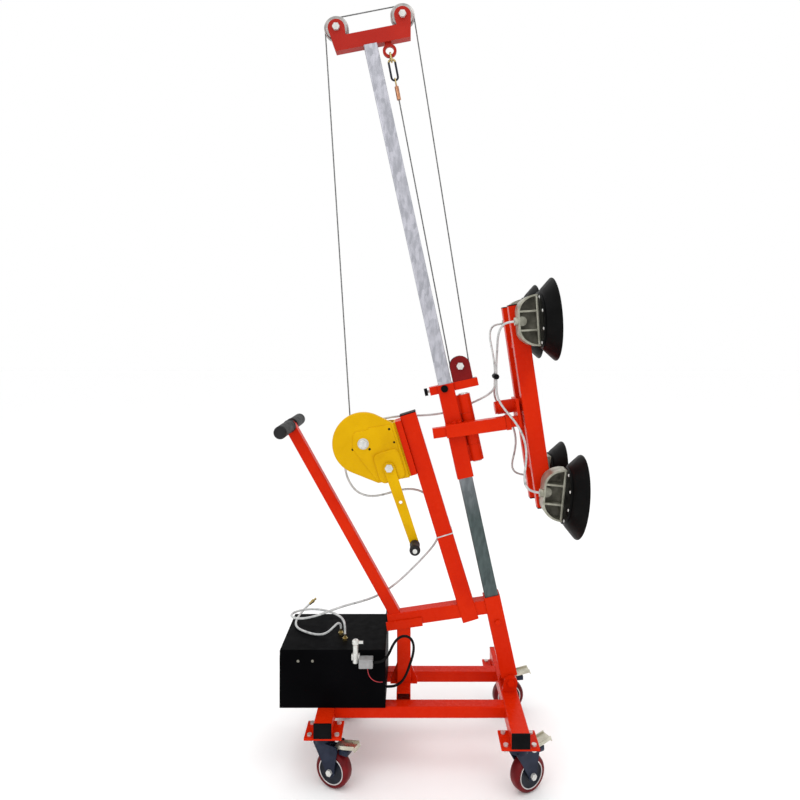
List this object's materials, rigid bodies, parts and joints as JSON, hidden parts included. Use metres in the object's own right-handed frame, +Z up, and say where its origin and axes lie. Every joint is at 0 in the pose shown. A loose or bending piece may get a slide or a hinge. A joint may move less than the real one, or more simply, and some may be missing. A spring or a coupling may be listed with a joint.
{
  "type": "glass panel lifter",
  "caption": "Wheeled manual lifter with a leaning mast, hand winch and rope carriage; a swinging arm carries a turning frame of tilting suction pads for glass panels.",
  "frame": {"origin": "on the floor, under the middle of the object's bounding box", "axes": "+X forward towards the suction pads, +Y to the left of someone who faces forward, +Z up"},
  "size_m": [1.0633, 0.598, 2.7393],
  "materials": {
    "frame_paint": "gloss orange-red paint",
    "beam_paint": "gloss red paint",
    "black_plastic": "moulded black",
    "grip_rubber": "soft black",
    "pump_grey": "moulded grey",
    "zinc_bolts": "zinc plated",
    "caster_steel": "zinc plated dark",
    "tyre_red": "dark red tyre",
    "gold_zinc": "yellow zinc plated",
    "silver_fittings": "bright plated",
    "galvanised": "galvanised",
    "winch_yellow": "yellow paint",
    "steel_rope": "laid steel wire",
    "white_hose": "smooth white",
    "cable_black": "black sheath",
    "cast_dome": "cast, lightly polished",
    "pad_rubber": "moulded black"
  },
  "bodies": {
    "base": {"front_cross_tube": "frame_paint", "rear_cross_tube": "frame_paint", "side_rails": "frame_paint", "base_end_caps": "black_plastic", "rear_post": "frame_paint", "base_bolts": "zinc_bolts", "caster_heads": "caster_steel", "pump_box": "black_plastic", "pump_box_lid": "black_plastic", "pump_set": "pump_grey", "box_fittings": "silver_fittings", "vacuum_hose": "white_hose", "battery_cable": "cable_black"},
    "valve": {"valve_lever": "silver_fittings"},
    "upper_frame": {"mast_socket": "frame_paint", "lower_beam": "frame_paint", "winch_column": "frame_paint", "push_handle": "frame_paint", "handle_grips": "grip_rubber", "mast": "galvanised", "top_beam": "beam_paint", "frame_bolts": "zinc_bolts", "frame_end_caps": "black_plastic", "winch_frame": "winch_yellow", "winch_cover": "winch_yellow", "hoist_rope": "steel_rope", "rope_fittings": "silver_fittings"},
    "drum": {"winch_drum": "galvanised"},
    "crank": {"crank_arm": "winch_yellow"},
    "crank_handle": {"crank_grip": "grip_rubber"},
    "rear_sheave": {"rear_top_sheave": "galvanised"},
    "front_sheave": {"front_top_sheave": "galvanised"},
    "carriage": {"carriage_sleeve": "frame_paint", "carriage_pins": "zinc_bolts"},
    "lift_sheave": {"carriage_sheave": "galvanised"},
    "arm": {"arm_sleeve": "frame_paint"},
    "reach": {"arm_slide": "frame_paint"},
    "head": {"cup_frame": "frame_paint", "cup_frame_caps": "black_plastic", "pad_hoses": "white_hose"},
    "pad_upper_near": {"pad_dome_upper_near": "cast_dome", "pad_rubber_upper_near": "pad_rubber"},
    "pad_upper_far": {"pad_dome_upper_far": "cast_dome", "pad_rubber_upper_far": "pad_rubber"},
    "pad_lower_near": {"pad_dome_lower_near": "cast_dome", "pad_rubber_lower_near": "pad_rubber"},
    "pad_lower_far": {"pad_dome_lower_far": "cast_dome", "pad_rubber_lower_far": "pad_rubber"},
    "fork_front_near": {"caster_fork_front_near": "caster_steel"},
    "wheel_front_near": {"caster_wheel_front_near": "tyre_red"},
    "pedal_front_near": {"caster_pedal_front_near": "gold_zinc"},
    "fork_front_far": {"caster_fork_front_far": "caster_steel"},
    "wheel_front_far": {"caster_wheel_front_far": "tyre_red"},
    "pedal_front_far": {"caster_pedal_front_far": "gold_zinc"},
    "fork_rear_near": {"caster_fork_rear_near": "caster_steel"},
    "wheel_rear_near": {"caster_wheel_rear_near": "tyre_red"},
    "pedal_rear_near": {"caster_pedal_rear_near": "gold_zinc"},
    "fork_rear_far": {"caster_fork_rear_far": "caster_steel"},
    "wheel_rear_far": {"caster_wheel_rear_far": "tyre_red"},
    "pedal_rear_far": {"caster_pedal_rear_far": "gold_zinc"}
  },
  "joints": [
    {"name": "mast_fold", "type": "hinge", "parent": "base", "child": "upper_frame", "pos_m": [0.31, 0, 0.262], "axis": [0, 1, 0], "range_deg": [0, 50], "deforming": ["vacuum_hose"]},
    {"name": "winch_crank", "type": "hinge", "parent": "upper_frame", "child": "crank", "pos_m": [-0.12967, 0, 1.04685], "axis": [0, 1, 0], "range_deg": [-3827.69, 8612.31]},
    {"name": "winch_drum_turn", "type": "hinge", "parent": "upper_frame", "child": "drum", "pos_m": [-0.223, 0, 1.13], "axis": [0, 1, 0], "range_deg": [-2154.08, 957.92]},
    {"name": "crank_grip_spin", "type": "hinge", "parent": "crank", "child": "crank_handle", "pos_m": [-0.03798, 0, 0.77594], "axis": [0, 1, 0], "continuous": true},
    {"name": "rear_sheave_turn", "type": "hinge", "parent": "upper_frame", "child": "rear_sheave", "pos_m": [-0.326, 0, 2.647], "axis": [0, 1, 0], "range_deg": [-2462.39, 1094.95]},
    {"name": "front_sheave_turn", "type": "hinge", "parent": "upper_frame", "child": "front_sheave", "pos_m": [-0.08285, 0, 2.69426], "axis": [0, 1, 0], "range_deg": [-2462.39, 1094.95]},
    {"name": "carriage_lift", "type": "slide", "parent": "upper_frame", "child": "carriage", "axis": [-0.2147, 0, 0.9767], "range_m": [-0.401, 0.901], "deforming": ["hoist_rope"]},
    {"name": "lift_sheave_turn", "type": "hinge", "parent": "carriage", "child": "lift_sheave", "pos_m": [0.12796, 0, 1.40661], "axis": [0, 1, 0], "range_deg": [-1478.54, 657.69]},
    {"name": "arm_swivel", "type": "hinge", "parent": "carriage", "child": "arm", "pos_m": [0.1677, 0, 1.17934], "axis": [-0.2147, 0, 0.9767], "range_deg": [0, 45]},
    {"name": "arm_reach", "type": "slide", "parent": "arm", "child": "reach", "axis": [0.9895, 0, 0.1444], "range_m": [0, 0.1]},
    {"name": "frame_rotate", "type": "hinge", "parent": "reach", "child": "head", "pos_m": [0.31, 0, 1.259], "axis": [0.9895, 0, 0.1444], "range_deg": [-90, 90]},
    {"name": "pad_tilt_upper_near", "type": "hinge", "parent": "head", "child": "pad_upper_near", "pos_m": [0.33574, -0.15, 1.56745], "axis": [0, 1, 0], "range_deg": [-20, 8], "deforming": ["pad_hoses"]},
    {"name": "pad_tilt_upper_far", "type": "hinge", "parent": "head", "child": "pad_upper_far", "pos_m": [0.33574, 0.15, 1.56745], "axis": [0, 1, 0], "range_deg": [-20, 8]},
    {"name": "pad_tilt_lower_near", "type": "hinge", "parent": "head", "child": "pad_lower_near", "pos_m": [0.42279, -0.15, 0.97076], "axis": [0, 1, 0], "range_deg": [-26, 2]},
    {"name": "pad_tilt_lower_far", "type": "hinge", "parent": "head", "child": "pad_lower_far", "pos_m": [0.42279, 0.15, 0.97076], "axis": [0, 1, 0], "range_deg": [-26, 2]},
    {"name": "caster_swivel_front_near", "type": "hinge", "parent": "base", "child": "fork_front_near", "pos_m": [0.304, -0.245, 0.1565], "axis": [0, 0, 1], "continuous": true},
    {"name": "caster_roll_front_near", "type": "hinge", "parent": "fork_front_near", "child": "wheel_front_near", "pos_m": [0.33691, -0.226, 0.062], "axis": [-0.5, 0.866, 0], "continuous": true},
    {"name": "caster_brake_front_near", "type": "hinge", "parent": "fork_front_near", "child": "pedal_front_near", "pos_m": [0.3525, -0.217, 0.14], "axis": [-0.5, 0.866, 0], "range_deg": [0, 12]},
    {"name": "caster_swivel_front_far", "type": "hinge", "parent": "base", "child": "fork_front_far", "pos_m": [0.304, 0.245, 0.1565], "axis": [0, 0, 1], "continuous": true},
    {"name": "caster_roll_front_far", "type": "hinge", "parent": "fork_front_far", "child": "wheel_front_far", "pos_m": [0.34163, 0.25029, 0.062], "axis": [-0.1392, 0.9903, 0], "continuous": true},
    {"name": "caster_brake_front_far", "type": "hinge", "parent": "fork_front_far", "child": "pedal_front_far", "pos_m": [0.35946, 0.25279, 0.14], "axis": [-0.1392, 0.9903, 0], "range_deg": [0, 12]},
    {"name": "caster_swivel_rear_near", "type": "hinge", "parent": "base", "child": "fork_rear_near", "pos_m": [-0.345, -0.19, 0.1565], "axis": [0, 0, 1], "continuous": true},
    {"name": "caster_roll_rear_near", "type": "hinge", "parent": "fork_rear_near", "child": "wheel_rear_near", "pos_m": [-0.31056, -0.20606, 0.062], "axis": [0.4226, 0.9063, 0], "continuous": true},
    {"name": "caster_brake_rear_near", "type": "hinge", "parent": "fork_rear_near", "child": "pedal_rear_near", "pos_m": [-0.29425, -0.21367, 0.14], "axis": [0.4226, 0.9063, 0], "range_deg": [0, 12]},
    {"name": "caster_swivel_rear_far", "type": "hinge", "parent": "base", "child": "fork_rear_far", "pos_m": [-0.345, 0.19, 0.1565], "axis": [0, 0, 1], "continuous": true},
    {"name": "caster_roll_rear_far", "type": "hinge", "parent": "fork_rear_far", "child": "wheel_rear_far", "pos_m": [-0.30847, 0.20047, 0.062], "axis": [-0.2756, 0.9613, 0], "continuous": true},
    {"name": "caster_brake_rear_far", "type": "hinge", "parent": "fork_rear_far", "child": "pedal_rear_far", "pos_m": [-0.29117, 0.20544, 0.14], "axis": [-0.2756, 0.9613, 0], "range_deg": [0, 12]},
    {"name": "valve_turn", "type": "hinge", "parent": "base", "child": "valve", "pos_m": [-0.242, -0.163, 0.4555], "axis": [0, 0, 1], "range_deg": [0, 90]}
  ],
  "couplings": [
    {"joint": "winch_drum_turn", "follows": "winch_crank", "ratio": -0.25},
    {"joint": "rear_sheave_turn", "follows": "winch_crank", "ratio": -0.2858},
    {"joint": "front_sheave_turn", "follows": "winch_crank", "ratio": -0.2858},
    {"joint": "carriage_lift", "follows": "winch_crank", "m_per_rad": 0.0059875},
    {"joint": "lift_sheave_turn", "follows": "winch_crank", "ratio": -0.17156}
  ]
}
